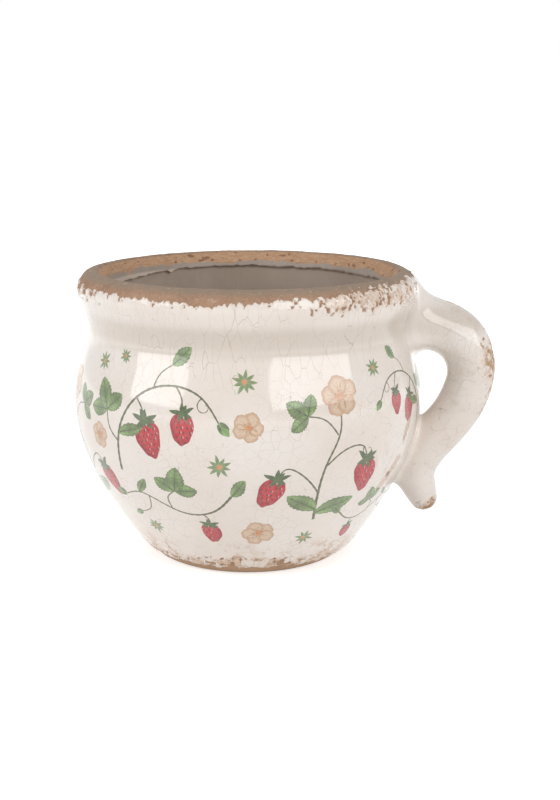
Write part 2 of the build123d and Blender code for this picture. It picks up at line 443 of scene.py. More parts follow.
def surface_net(field_values, low, spacing):
    """Points and faces of the zero surface of values on a regular grid."""
    v = field_values
    inside = v < 0
    shape = np.array(v.shape)
    cells = np.zeros(shape - 1, int)
    corners = [(a, b, c) for a in (0, 1) for b in (0, 1) for c in (0, 1)]
    for a, b, c in corners:
        cells += inside[a:shape[0] - 1 + a, b:shape[1] - 1 + b, c:shape[2] - 1 + c]
    active = (cells > 0) & (cells < 8)
    index = np.full(active.shape, -1)
    index[active] = np.arange(active.sum())
    where = np.argwhere(active)
    total = np.zeros((len(where), 3))
    count = np.zeros(len(where))
    for p in corners:
        for axis in range(3):
            if p[axis]:
                continue
            q = list(p)
            q[axis] = 1
            va = v[where[:, 0] + p[0], where[:, 1] + p[1], where[:, 2] + p[2]]
            vb = v[where[:, 0] + q[0], where[:, 1] + q[1], where[:, 2] + q[2]]
            crossing = (va < 0) != (vb < 0)
            t = np.where(crossing, va / np.where(crossing, va - vb, 1), 0)
            point = np.array(p, float) + t[:, None] * (np.array(q) - np.array(p))
            total += np.where(crossing[:, None], point, 0)
            count += crossing
    points = (where + total / count[:, None]) * spacing + low
    faces = []
    for axis in range(3):
        o1, o2 = [a for a in range(3) if a != axis]
        lo = [slice(1, -1)] * 3
        lo[axis] = slice(0, shape[axis] - 1)
        hi = list(lo)
        hi[axis] = slice(1, shape[axis])
        va = inside[tuple(lo)]
        vb = inside[tuple(hi)]
        for flip, mask in ((axis != 1, va & ~vb), (axis == 1, ~va & vb)):
            e = np.argwhere(mask)
            e[:, o1] += 1
            e[:, o2] += 1
            quad = []
            for d1, d2 in ((0, 0), (1, 0), (1, 1), (0, 1)):
                c = e.copy()
                c[:, o1] -= d1
                c[:, o2] -= d2
                quad.append(index[c[:, 0], c[:, 1], c[:, 2]])
            faces.append(np.stack(quad if flip else quad[::-1], -1))
    return points, np.concatenate(faces)


def handle_mesh(skin, spacing):
    """Points and faces of the handle with its roots, pulled exactly on to the field's zero surface."""
    low = np.array((58.0, -24.0, 14.0))
    size = np.array((62.0, 48.0, 121.0))
    counts = (size / spacing).astype(int) + 1
    axes = [low[a] + spacing * np.arange(counts[a]) for a in range(3)]
    gx, gy, gz = np.meshgrid(*axes, indexing="ij")
    pts = np.stack([gx, gy, gz], -1).reshape(-1, 3)
    values, _ = handle_shape(pts, skin)
    points, faces = surface_net(values.reshape(counts), low, spacing)
    _, proud = handle_shape(points, skin)
    keep = (proud > -0.02) & (wall_distance(points) > -1.5)
    reach = proud > 0.015
    faces = faces[reach[faces].any(1) & keep[faces].all(1)]
    used = np.unique(faces)
    remap = np.full(len(points), -1)
    remap[used] = np.arange(len(used))
    points, faces = points[used], remap[faces]
    for _ in range(3):
        value, _ = handle_shape(points, skin)
        slope = field_slope(points, skin)
        points = points - slope * value[:, None]
    return points, faces


def field_slope(points, skin):
    """Unit direction in which the field grows."""
    e = 0.2
    slope = np.stack([handle_field(points + e * d, skin)[0] - handle_field(points - e * d, skin)[0]
                      for d in np.eye(3)], -1)
    return unit(slope)


def refine(points, faces):
    """Each four-sided face becomes four."""
    edges = np.concatenate([np.stack([faces[:, a], faces[:, (a + 1) % 4]], -1) for a in range(4)])
    ordered = np.sort(edges, 1)
    unique, inverse = np.unique(ordered, axis=0, return_inverse=True)
    inverse = inverse.ravel()
    n, m = len(points), len(faces)
    mids = points[unique].mean(1)
    centres = points[faces].mean(1)
    e = [n + inverse[a * m:(a + 1) * m] for a in range(4)]
    c = n + len(unique) + np.arange(m)
    quads = [np.stack([faces[:, a], e[a], c, e[a - 1]], -1) for a in range(4)]
    return np.concatenate([points, mids, centres]), np.concatenate(quads)


spacing = 0.8 if fine else 1.1
points, faces = handle_mesh(glaze_thickness, spacing)
points, faces = refine(points, faces)
value, proud = handle_shape(points, glaze_thickness)
slope = field_slope(points, glaze_thickness)
points = points - slope * value[:, None]
chip_depth = 0.62
handle_chips = [  # centre, direction, half length and half width in mm, seed
    ((113.9, -4.5, 92.5), (0.1, 0.3, -1), 6.8, 4.6, 121),
    ((116.2, -1.5, 96.0), (0.2, 0.2, -1), 7.0, 3.0, 122),
    ((116.0, -2.5, 84.0), (0.0, 0.2, 1), 9.0, 2.6, 123),
    ((113.2, -3.0, 75.5), (0.3, 0.0, 1), 6.5, 2.2, 124),
    ((110.5, -4.0, 70.0), (0.5, 0.0, 1), 4.5, 1.8, 125),
    ((88.0, -4.0, 22.5), (1.0, 0.1, 0.5), 4.6, 2.6, 126),
    ((85.5, -3.5, 20.2), (1.0, 0.0, 0.2), 4.4, 1.8, 127),
    ((96.0, -1.0, 119.6), (1.0, 0.0, -0.4), 2.3, 0.9, 128),
]
chip = np.zeros(len(points))
halo = np.zeros(len(points))
for *streak, seed in handle_chips:
    reach = streak_reach(points, *streak)
    rough = 0.5 * noise(points, 2.8, seed, 3)
    chip = np.maximum(chip, 1 - step(0.55, 0.95, reach + rough))
    halo = np.maximum(halo, np.exp(-((reach / 1.7) ** 2)))
speckle = noise(points, 2.0, 131, 3)
chip = np.maximum(chip, step(0.40, 0.54, speckle + 0.62 * (halo - 0.42)) * step(0.12, 0.3, halo))
smudge = step(-0.2, 0.7, noise(points, 7, 132, 3)) * step(88, 100, points[:, 0]) * 0.20
halo_stain = 0.55 * halo * step(0.0, 0.7, noise(points, 2.6, 133, 3))
stain = np.clip(0.9 * step(0.05, 0.6, chip) + halo_stain + smudge, 0, 1)
soil = 0.9 * step(0.25, 0.75, halo)
points = points - slope * (chip_depth * chip)[:, None]
handle_glaze = add_mesh("handle_glaze", points, faces, values={"stain": stain, "soil": soil})

# Clay of the handle, which shows where the glaze is chipped through
points, faces = handle_mesh(0.0, 1.1)
slope = field_slope(points, 0.0)
points = points + slope * (0.07 * noise(points, 1.6, 141, 2) - 0.05)[:, None]
handle_clay = add_mesh("handle_clay", points, faces)

# Materials. Heights, radii and bump distances in them are in metres


def feed(tree, socket, value):
    """Links a socket to another one, or sets it to a number, a vector or an opaque colour."""
    if isinstance(value, bpy.types.NodeSocket):
        tree.links.new(value, socket)
    else:
        socket.default_value = (*value, 1) if socket.type == "RGBA" else value


def node(tree, kind, inputs=None, **settings):
    """A node with its settings, and with its inputs fed by name or by position."""
    n = tree.nodes.new(kind)
    for key, value in settings.items():
        setattr(n, key, value)
    for key, value in (inputs or {}).items():
        feed(tree, n.inputs[key], value)
    return n


class Wiring:
    """Short ways to build one material's nodes. Most give the socket that holds their result."""

    def __init__(self, name):
        self.material = bpy.data.materials.new(name)
        self.material.use_nodes = True
        self.tree = self.material.node_tree
        self.shader = self.tree.nodes["Principled BSDF"]
        self.place = node(self.tree, "ShaderNodeTexCoord").outputs["Object"]
        self.x, self.y, self.z = node(self.tree, "ShaderNodeSeparateXYZ", {0: self.place}).outputs

    def set(self, key, value):
        """Links or sets one of the shader's own inputs."""
        feed(self.tree, self.shader.inputs[key], value)

    def maths(self, operation, *values, clamp=False):
        """One of the Math node's operations on sockets or numbers."""
        values = dict(enumerate(values))
        return node(self.tree, "ShaderNodeMath", values, operation=operation, use_clamp=clamp).outputs[0]

    def times(self, a, b, clamp=False):
        """The product of two sockets or numbers."""
        return self.maths("MULTIPLY", a, b, clamp=clamp)

    def axis_distance(self):
        """Distance from the pot's axis."""
        return self.maths("SQRT", self.maths("ADD", self.times(self.x, self.x), self.times(self.y, self.y)))

    def noise(self, scale, detail=3.0, rough=0.55, at=None, output="Fac"):
        """Noise with about scale features to the metre."""
        inputs = {"Scale": scale, "Detail": detail, "Roughness": rough, "Vector": at or self.place}
        return node(self.tree, "ShaderNodeTexNoise", inputs).outputs[output]

    def fade(self, value, low, high, to_low=0.0, to_high=1.0):
        """Smooth change from to_low to to_high as value goes from low to high."""
        inputs = {"Value": value, "From Min": low, "From Max": high, "To Min": to_low, "To Max": to_high}
        n = node(self.tree, "ShaderNodeMapRange", inputs, interpolation_type="SMOOTHSTEP")
        return n.outputs["Result"]

    def mix(self, factor, a, b):
        """Colour a where factor is 0, and b where it is 1."""
        return node(self.tree, "ShaderNodeMix", {0: factor, 6: a, 7: b}, data_type="RGBA").outputs[2]

    def attribute(self, name, output="Fac"):
        """A value or colour kept on the mesh's points."""
        return node(self.tree, "ShaderNodeAttribute", attribute_name=name).outputs[output]

    def bump(self, height, strength, distance):
        """Gives the shader a fine relief."""
        inputs = {"Strength": strength, "Distance": distance, "Height": height}
        self.set("Normal", node(self.tree, "ShaderNodeBump", inputs).outputs["Normal"])

    def join(self, x, y, z):
        """A vector from three sockets or numbers."""
        return node(self.tree, "ShaderNodeCombineXYZ", {0: x, 1: y, 2: z}).outputs[0]


def craze(w):
    """Craze lines as a mask, 1 on a line. Cells are 3 to 5 mm on the belly, and taller at the neck."""
    belly_top = 0.098
    neck_stretch = 0.22
    wander_reach = 0.0016
    low = w.maths("MINIMUM", w.z, belly_top)
    high = w.times(w.maths("MAXIMUM", w.maths("SUBTRACT", w.z, belly_top), 0.0), neck_stretch)
    place = w.join(w.x, w.y, w.maths("ADD", low, high))
    wander = w.noise(240, 2, at=place, output="Color")
    shift = {0: wander, 1: (wander_reach,) * 3, 2: place}
    shifted = node(w.tree, "ShaderNodeVectorMath", shift, operation="MULTIPLY_ADD").outputs[0]
    lines = []
    for scale, width in ((205, 0.018), (390, 0.024)):
        inputs = {"Scale": scale, "Vector": shifted}
        cells = node(w.tree, "ShaderNodeTexVoronoi", inputs, feature="DISTANCE_TO_EDGE")
        lines.append(w.fade(cells.outputs["Distance"], 0.0, width, 1.0, 0.0))
    strong = w.fade(w.noise(38), 0.38, 0.66)
    fine_zone = w.fade(w.noise(52, 2, at=place), 0.46, 0.66)
    first = w.times(lines[0], w.fade(strong, 0, 1, 0.3, 1.0))
    second = w.times(lines[1], w.times(fine_zone, 0.6))
    return w.maths("MAXIMUM", first, second)


def glaze_coat(w, body_colour, line_colour, line_strength):
    """Gloss and craze lines over a colour."""
    lines = craze(w)
    w.set("Base Color", w.mix(w.times(lines, line_strength), body_colour, line_colour))
    gloss = w.fade(w.noise(70), 0.3, 0.8, 0.06, 0.14)
    w.set("Roughness", w.maths("ADD", gloss, w.times(lines, 0.15)))
    w.set("IOR", 1.5)
    w.set("Coat Weight", 0.45)
    w.set("Coat Roughness", 0.03)
    w.bump(lines, 0.5, -0.00006)


def pot_clay_material():
    """Fired earthenware, brown with tan grain, darker specks, painted shade in the pits and a paler foot."""
    w = Wiring("clay_pot")
    cloud = w.fade(w.noise(42, 4, 0.6), 0.3, 0.7)
    grain = w.fade(w.noise(900, 4, 0.6), 0.35, 0.75, 0.0, 0.55)
    colour = w.mix(cloud, (0.275, 0.150, 0.090), (0.42, 0.250, 0.158))
    colour = w.mix(grain, colour, (0.50, 0.34, 0.235))
    # The crest is rubbed and greyer, the slope inside it is warm orange brown
    radius = w.axis_distance()
    streaks = w.noise(260, 4, 0.7, at=w.join(w.x, w.y, w.times(w.z, 6)))
    crest = w.times(w.fade(w.z, 0.1325, 0.1356), w.fade(radius, 0.0695, 0.0708))
    colour = w.mix(w.times(crest, w.fade(streaks, 0.3, 0.6, 0.35, 0.95)), colour, (0.29, 0.225, 0.165))
    slope = w.times(w.fade(radius, 0.0702, 0.0694), w.fade(w.z, 0.1295, 0.1315))
    warm = w.mix(w.fade(streaks, 0.35, 0.65), (0.42, 0.235, 0.130), (0.53, 0.335, 0.205))
    colour = w.mix(slope, colour, warm)
    dark_specks = w.times(w.fade(w.noise(700, 2), 0.64, 0.74), 0.55)
    colour = w.mix(dark_specks, colour, (0.16, 0.085, 0.05))
    # Painted shade: the pits on the slope are darkened in colour
    colour = w.mix(w.times(w.attribute("pit_painted_shade"), 0.8), colour, (0.20, 0.10, 0.055))
    light_specks = w.times(w.fade(w.noise(420), 0.62, 0.72), 0.5)
    colour = w.mix(light_specks, colour, (0.60, 0.48, 0.36))
    foot = w.times(w.fade(w.z, 0.010, 0.002), 0.7)
    w.set("Base Color", w.mix(foot, colour, (0.56, 0.375, 0.235)))
    w.set("Roughness", w.fade(streaks, 0.2, 0.8, 0.62, 0.85))
    w.bump(w.maths("ADD", w.noise(1500), w.times(streaks, 0.7)), 0.55, 0.00025)
    return w.material


def handle_clay_material():
    """The paler clay in the handle's chips."""
    w = Wiring("clay_handle")
    grain = w.fade(w.noise(500), 0.35, 0.7)
    w.set("Base Color", w.mix(grain, (0.36, 0.205, 0.115), (0.60, 0.43, 0.29)))
    w.set("Roughness", 0.8)
    w.bump(w.noise(1400), 0.5, 0.0003)
    return w.material


def glaze_material():
    """Cream crackle glaze with warm clouds, freckles and brown stains."""
    w = Wiring("glaze_cream")
    cloud = w.fade(w.noise(24), 0.3, 0.7)
    colour = w.mix(cloud, (0.80, 0.715, 0.645), (0.845, 0.785, 0.73))
    # Darker in the neck's hollow: mostly painted shade under the rolled rim, and partly thicker glaze pooled
    # there
    painted_neck_shade = w.times(w.fade(w.z, 0.1035, 0.1115), w.fade(w.z, 0.1225, 0.1165))
    colour = w.mix(w.times(painted_neck_shade, 0.6), colour, (0.60, 0.515, 0.43))
    warm = w.fade(w.noise(75, 4), 0.55, 0.8, 0, 0.22)
    colour = w.mix(warm, colour, (0.78, 0.62, 0.49))
    brown = w.mix(w.fade(w.noise(330), 0.35, 0.65), (0.42, 0.235, 0.12), (0.66, 0.47, 0.31))
    ragged = w.times(w.attribute("stain"), w.fade(w.noise(420), 0.2, 0.62, 0.35, 1.0), clamp=True)
    colour = w.mix(ragged, colour, brown)
    # Soil drawn into the craze: tan clouds with thin brown rims
    soil = w.attribute("soil")
    mottle = w.noise(170, 4, 0.62)
    colour = w.mix(w.times(soil, w.fade(mottle, 0.42, 0.60, 0.1, 0.85)), colour, (0.64, 0.435, 0.275))
    rims = w.fade(w.maths("ABSOLUTE", w.maths("SUBTRACT", mottle, 0.52)), 0.0, 0.045, 1.0, 0.0)
    colour = w.mix(w.times(soil, w.times(rims, 0.85)), colour, (0.40, 0.205, 0.10))
    freckle = w.times(w.fade(w.noise(640, 2), 0.735, 0.77), 0.45)
    colour = w.mix(freckle, colour, (0.34, 0.23, 0.15))
    glaze_coat(w, colour, (0.30, 0.235, 0.19), 0.46)
    return w.material


def lining_material():
    """The grey-brown coat: darker on the slope and the trimmed band, and paler on the wall and floor, where
    the paler colour is painted light that lifts the shade inside the pot.
    """
    w = Wiring("lining_grey")
    cloud = w.fade(w.noise(30, 4), 0.3, 0.7)
    edge_tone = w.mix(cloud, (0.285, 0.232, 0.190), (0.345, 0.290, 0.245))
    # The wall and floor are painted paler than the band: painted light that lifts the shade deep inside the
    # pot
    painted_light_wall_tone = w.mix(cloud, (0.445, 0.360, 0.295), (0.520, 0.430, 0.360))
    colour = w.mix(w.fade(w.z, 0.1282, 0.1292), painted_light_wall_tone, edge_tone)
    specks = w.times(w.fade(w.noise(520, 2), 0.66, 0.74), 0.35)
    w.set("Base Color", w.mix(specks, colour, (0.42, 0.36, 0.30)))
    w.set("Roughness", 0.62)
    w.bump(w.noise(650), 0.35, 0.0003)
    return w.material


def print_material(name, line_strength):
    """Ink under the glaze: the piece's own tint, slightly uneven, with the glaze's lines over it."""
    w = Wiring(name)
    uneven = w.fade(w.noise(560), 0.3, 0.75, 0.0, 0.09)
    colour = w.mix(uneven, w.attribute("tint", "Color"), (0.80, 0.72, 0.64))
    glaze_coat(w, colour, (0.25, 0.19, 0.15), line_strength)
    return w.material


def dress(thing, material, slot, *nodes):
    """Gives a piece its material, and its place in the record."""
    thing.data.materials.clear()
    thing.data.materials.append(material)
    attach(thing, "root")
    if nodes:
        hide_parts(*nodes)


glaze_look = glaze_material()
dress(pot_glaze, glaze_look, "glaze", "outer_glaze")
dress(handle_glaze, glaze_look, "glaze")
dress(pot_clay, pot_clay_material(), "clay", "pot_body")
dress(handle_clay, handle_clay_material(), "clay", "handle", "upper_slip_joint", "lower_slip_joint")
dress(inner_coat, lining_material(), "lining", "inner_coat")

# Printed pattern. Each motif is drawn flat in mm, then laid on the glaze as a thin sheet of its own
RED = np.array((0.50, 0.020, 0.034))
DEEP_RED = np.array((0.30, 0.008, 0.018))
PINK = np.array((0.84, 0.46, 0.42))
SEED = np.array((0.085, 0.016, 0.018))
DARK_GREEN = np.array((0.066, 0.088, 0.044))
MID_GREEN = np.array((0.140, 0.245, 0.070))
LIGHT_GREEN = np.array((0.290, 0.46, 0.150))
GREY_GREEN = np.array((0.235, 0.285, 0.175))
OLIVE = np.array((0.110, 0.105, 0.052))
PEACH = np.array((0.60, 0.395, 0.255))
PALE_PEACH = np.array((0.70, 0.53, 0.385))
RUST = np.array((0.47, 0.25, 0.125))
ORANGE = np.array((0.66, 0.24, 0.07))

arc_length = np.r_[0, np.cumsum(np.linalg.norm(np.diff(outside, axis=0), axis=1))]
layer_gap = 0.0012  # neighbouring shapes of one ink lie this far apart, so that they don't meet
layer_count = 6


class Ink:
    """One colour family of the print, gathered motif by motif into a single piece."""

    def __init__(self, name, lift, line_strength=0.5):
        self.name, self.lift, self.line_strength = name, lift, line_strength
        self.points, self.colours, self.faces, self.count, self.layer = [], [], [], 0, 0

    def add(self, place, flat, colours, faces):
        """Lays flat points, given in mm in the motif's own frame, on the glaze.

        place is angle in degrees, height in mm, turn in radians, scale, and 1 or, mirrored, -1.
        """
        angle0, height0, turn, scale, mirror = place
        a, b = flat[:, 0] * scale * mirror, flat[:, 1] * scale
        c, s = math.cos(turn), math.sin(turn)
        a, b = a * c - b * s, a * s + b * c
        along = np.interp(height0, outside[:, 1], arc_length) + b
        height = np.interp(along, arc_length, outside[:, 1])
        radius = np.interp(height, outside[:, 1], outside[:, 0])
        angle = math.radians(angle0) + a / radius
        self.layer = (self.layer + 1) % layer_count
        self.points.append(glaze_surface(angle, height, self.lift + layer_gap * self.layer))
        self.colours.append(np.broadcast_to(colours, (len(flat), 3)))
        order = -1 if mirror < 0 else 1
        self.faces += [[i + self.count for i in face][::order] for face in faces]
        self.count += len(flat)

    def finish(self):
        """Makes the piece."""
        thing = add_mesh(self.name, np.concatenate(self.points), self.faces, np.concatenate(self.colours))
        dress(thing, print_material(self.name + "_ink", self.line_strength), "glaze")


# Height over the glaze in mm, so that what is drawn on top of another colour lies over it
stems = Ink("print_stems", 0.020)
leaves = Ink("print_leaves", 0.026)
veins = Ink("print_veins", 0.036)
berries = Ink("print_berries", 0.026, 0.35)
calyxes = Ink("print_calyxes", 0.036)
seeds = Ink("print_seeds", 0.036)
glints = Ink("print_glints", 0.048)
petals = Ink("print_petals", 0.024)
hearts = Ink("print_hearts", 0.036)
stars = Ink("print_stars", 0.024)


def grid_faces(rows, columns):
    """Faces of a flat sheet of rows by columns points."""
    return [(r * columns + c, r * columns + c + 1, (r + 1) * columns + c + 1, (r + 1) * columns + c)
            for r in range(rows - 1) for c in range(columns - 1)]


def fan_faces(rings, spokes):
    """Faces of rings of points round a middle point, which comes first."""
    faces = [(0, 1 + j, 1 + (j + 1) % spokes) for j in range(spokes)]
    for k in range(rings - 1):
        p, q = 1 + k * spokes, 1 + (k + 1) * spokes
        faces += [(p + j, q + j, q + (j + 1) % spokes, p + (j + 1) % spokes) for j in range(spokes)]
    return faces


def spot(x, y, turn, u, v):
    """The place in the motif's frame of a point u, v in a frame that is turned and moved to x, y."""
    c, s = math.cos(turn), math.sin(turn)
    return x + u * c - v * s, y + u * s + v * c


def inside_frame(flat, x, y, turn):
    """The same for an array of points."""
    return np.stack(spot(x, y, turn, flat[:, 0], flat[:, 1]), 1)


def ribbon(ink, place, points, start, end, colour=OLIVE, light=GREY_GREEN):
    """A drawn line that changes width from start to end, in mm."""
    line = smooth_curve(points, 0.9)
    tangent = np.gradient(line, axis=0)
    tangent /= np.linalg.norm(tangent, axis=1)[:, None] + 1e-9
    across = np.c_[tangent[:, 1], -tangent[:, 0]]
    t = np.linspace(0, 1, len(line))[:, None]
    tremble = 1 + 0.16 * np.sin(np.arange(len(line)) * 1.7 + points[0][0])[:, None]
    width = (start + (end - start) * t) / 2 * tremble
    sides = [line - across * width, line - across * width * 0.2, line + across * width]
    tone = np.tile([colour, colour, 0.45 * colour + 0.55 * light], (len(line), 1))
    ink.add(place, np.stack(sides, 1).reshape(-1, 2), tone, grid_faces(len(line), 3))


def draw_stems(place, *lines):
    """Stems, each given as its points, its width at the start and its width at the end."""
    for points, start, end in lines:
        ribbon(stems, place, points, start, end)


def blade(ink, place, x, y, turn, length, width, dark, light, bend=0.0, teeth=0, rows=22, phase=0.0):
    """A leaf, sepal or petal: pointed at both ends, with a bent middle line and toothed edges."""
    t = np.linspace(0, 1, rows)
    half = width / 2 * np.sin(np.pi * t**0.82) ** 0.85
    if teeth:
        half = half * (1 + 0.20 * (((t * teeth + phase) % 1.0) - 0.45) * np.clip(t * 6, 0, 1))
    middle_x = bend * length * np.sin(np.pi * t / 2) ** 2
    across = np.array([-1.0, -0.55, 0.0, 0.55, 1.0])
    lean = np.abs(across)[None, :] * 0.10 * length * (teeth > 0) * np.sin(np.pi * t)[:, None] * 0.6
    flat = np.stack([middle_x[:, None] + half[:, None] * across[None, :], t[:, None] * length + lean], -1)
    flat = inside_frame(flat.reshape(-1, 2), x, y, turn)
    shade = np.array([0.15, 0.72, 0.35, 0.95, 0.30])[None, :] * (0.75 + 0.25 * np.sin(9 * t + phase))[:, None]
    tone = dark + (light - dark) * shade[..., None]
    ink.add(place, flat, tone.reshape(-1, 3), grid_faces(rows, len(across)))
    return middle_x, half


def leaflet(place, x, y, turn, length, width, bend=0.0, teeth=9, phase=0.0):
    """A toothed leaflet with its midrib and side veins."""
    rows = 34
    middle, half = blade(leaves, place, x, y, turn, length, width, DARK_GREEN * 1.5, LIGHT_GREEN,
                         bend, teeth, rows, phase)
    t = np.linspace(0, 1, rows)
    rib = np.c_[middle, t * length][1:-2:4]
    ribbon(veins, place, inside_frame(rib, x, y, turn), 0.55, 0.2, DARK_GREEN, MID_GREEN)
    for k in (7, 12, 17, 22, 27):
        for side in (-1, 1):
            a = np.array((middle[k], t[k] * length))
            b = np.array((middle[k] + side * half[k] * 0.78, t[k] * length + 0.12 * length))
            c = (a + b) / 2 + np.array((0, -0.012 * length))
            vein = inside_frame(np.array([a, c, b]), x, y, turn)
            ribbon(veins, place, vein, 0.28, 0.12, DARK_GREEN * 1.4, MID_GREEN)


def trefoil(place, x, y, turn, size, phase=0.0):
    """Three toothed leaflets on one stalk."""
    for angle, share, bend in ((-1.12, 0.86, 0.10), (1.12, 0.86, -0.10), (0.0, 1.0, 0.03)):
        leaflet(place, x, y, turn + angle, size * share, size * share * 0.66, bend, 8, phase + angle)


def berry(place, x, y, turn, size, phase=0.0):
    """A berry hanging from x, y: its tip points along turn, measured from straight down."""
    rings, spokes = 6, 40
    half_width, length = 0.47, 1.12  # as shares of size
    phi = np.arange(spokes) * 2 * np.pi / spokes
    s = (1 - np.cos(phi)) / 2
    lump = 1 + 0.025 * np.sin(3 * phi + phase) + 0.018 * np.sin(7 * phi + 2 * phase)
    rim_x = half_width * np.sin(phi) * (1.13 - 0.50 * s) * lump
    rim = np.c_[rim_x, -length * s * lump + 0.03 * np.sin(phi) ** 2]
    heart = np.array((0.0, -0.44))
    flat = [heart[None, :]]
    tone = [(RED * 1.06)[None, :]]
    shadow = 0.45 + 0.55 * (1 - (0.5 + 0.5 * np.sin(phi + 0.5)))
    for k in range(1, rings + 1):
        flat.append(heart + (rim - heart) * (k / rings))
        depth = max((k / rings - 0.5) * 2, 0)
        tone.append(RED * 1.06 + (DEEP_RED - RED) * (depth**1.5 * shadow)[:, None])
    flat = inside_frame(np.concatenate(flat) * size, x, y, turn)
    berries.add(place, flat, np.concatenate(tone), [face[::-1] for face in fan_faces(rings, spokes)])
    berry_seeds(place, x, y, turn, size, half_width * size, length * size, phase)
    sepals = ((-1.75, 0.36), (-1.15, 0.46), (-0.45, 0.34), (0.35, 0.38), (1.05, 0.48), (1.7, 0.38),
              (2.5, 0.30), (-2.5, 0.32))
    for k, (angle, reach) in enumerate(sepals):
        sepal_turn = turn + angle + 0.12 * math.sin(3.1 * k + phase)
        blade(calyxes, place, *spot(x, y, turn, 0, -0.02 * size), sepal_turn, size * reach, size * 0.15,
              DARK_GREEN, MID_GREEN * 0.8, 0.22 * math.sin(2.3 * k + phase), 0, 9)


def berry_seeds(place, x, y, turn, size, half_width, length, phase):
    """Seeds in staggered rows, some of them with a pale glint beside them."""
    gap = 2.35
    row = 0
    v = -0.14 * size
    while v > -1.0 * size:
        s = -v / length
        half = half_width * (1.13 - 0.50 * s) * 2 * math.sqrt(max(s * (1 - s), 0))
        for n in range(-4, 5):
            u = (n + 0.5 * (row % 2)) * gap + 0.3 * math.sin(5 * row + 3 * n + phase)
            if abs(u) > half - 0.9:
                continue
            tilt = 0.5 * u / max(half, 1)
            dot(seeds, place, *spot(x, y, turn, u, v), turn + tilt, 0.34, 0.62, SEED)
            if (row + n) % 2 == 0 and u > -0.25 * half:
                dot(glints, place, *spot(x, y, turn, u + 0.62, v + 0.15), turn + tilt, 0.20, 0.62, PINK)
        v -= gap * 0.92
        row += 1


def dot(ink, place, x, y, turn, half_width, half_length, colour):
    """A small drop of one colour, blunter at one end."""
    corners = 8
    phi = np.arange(corners) * 2 * np.pi / corners
    flat = np.c_[half_width * np.sin(phi), half_length * np.cos(phi) * (1 - 0.25 * np.cos(phi))]
    ink.add(place, inside_frame(flat, x, y, turn), colour, [tuple(range(corners))[::-1]])


def blossom(place, x, y, turn, size):
    """Five round petals with darker rims, fine lines and an orange middle."""
    spokes = 22
    phi = np.arange(spokes) * 2 * np.pi / spokes
    tones = (PALE_PEACH, PEACH, 0.55 * PEACH + 0.45 * RUST)
    tone = np.concatenate([PALE_PEACH[None, :]] + [np.tile(c, (spokes, 1)) for c in tones])
    for k in range(5):
        angle = turn + k * 2 * math.pi / 5 + 0.10 * math.sin(4 * k + x)
        crinkle = 1 + 0.05 * np.sin(5 * phi + k) + 0.04 * np.sin(9 * phi + 2 * k)
        rim = np.c_[0.285 * np.sin(phi) * crinkle, 0.30 - 0.27 * np.cos(phi) * crinkle]
        heart = np.array((0.0, 0.30))
        flat = np.concatenate([heart[None, :]] + [heart + (rim - heart) * f for f in (0.5, 0.84, 1.0)]) * size
        petals.add(place, inside_frame(flat, x, y, angle), tone, fan_faces(len(tones), spokes))
        for fan in (-0.35, 0.0, 0.35):
            line = np.array([(0, 0.10), (fan * 0.14, 0.24), (fan * 0.42, 0.40)]) * size
            ribbon(hearts, place, inside_frame(line, x, y, angle), 0.22, 0.08, RUST, PEACH)
    stamens, out = 9, 0.155 * size
    for k in range(stamens):
        angle = k * 2 * math.pi / stamens
        dot(hearts, place, x + out * math.cos(angle), y + out * math.sin(angle), angle, 0.28, 0.36, RUST)
    dot(hearts, place, x, y, 0.3, 0.105 * size, 0.11 * size, ORANGE)


def star(place, x, y, turn, size, count):
    """A small flower with narrow green petals and an orange middle."""
    for k in range(count):
        angle = turn + k * 2 * math.pi / count + 0.08 * math.sin(5 * k + x)
        length = size * 0.5 * (1 + 0.12 * math.sin(3 * k + y))
        blade(stars, place, x, y, angle, length, size * 0.155, MID_GREEN * 0.9, GREY_GREEN * 1.5, 0.06, 0, 8)
    dot(hearts, place, x, y, 0.0, 0.12 * size, 0.12 * size, 0.6 * ORANGE + 0.4 * PEACH)


def bud(place, x, y, turn, size):
    """A closed bud in its sepals."""
    blade(leaves, place, x, y, turn, size, size * 0.62, MID_GREEN, LIGHT_GREEN * 1.1, 0.04, 0, 12)
    for side, lean, length, width in ((-1, 0.16, 0.72, 0.24), (1, -0.20, 0.60, 0.20)):
        blade(calyxes, place, *spot(x, y, turn, side * 0.10 * size, 0), turn + lean, size * length,
              size * width, DARK_GREEN, MID_GREEN, side * 0.05, 0, 8)


def curl(place, x, y, turn, size):
    """A tendril that winds in on itself."""
    t = np.linspace(0, 1, 12)
    radius = size * (1 - 0.82 * t) * 0.5
    angle = 1.5 + 5.6 * t
    line = np.c_[radius * np.cos(angle), radius * np.sin(angle)]
    line -= line[0]
    ribbon(stems, place, inside_frame(line, x, y, turn), 0.55, 0.25)


def hanging_spray(place, phase):
    """An arching stem with two berries hanging from it, a trefoil at its root and a bud at its tip."""
    draw_stems(
        place,
        ([(-27, -24), (-24, -6), (-12, 10), (6, 15), (20, 9), (27, -2)], 1.35, 0.7),
        ([(-12, 10), (-9, 5), (-8, 0)], 0.75, 0.6),
        ([(8, 15), (11, 9), (11, 3)], 0.75, 0.6),
        ([(-25, -10), (-30, -4), (-31, 4)], 0.8, 0.6),
        ([(-3, 14), (0, 20), (6, 24)], 0.7, 0.5),
    )
    berry(place, -8, 0, 0.14, 15.5, phase)
    berry(place, 11, 3, -0.10, 13.0, phase + 2)
    trefoil(place, -31, 4, 0.25, 14.5, phase)
    leaflet(place, -24, -6, -1.25, 15, 6.0, 0.12, 6)
    bud(place, 27, -2, -2.5, 7.5)
    leaflet(place, 6, 24, -1.0, 12, 6.5, -0.1, 6)
    curl(place, 20, 9, 0.4, 8)


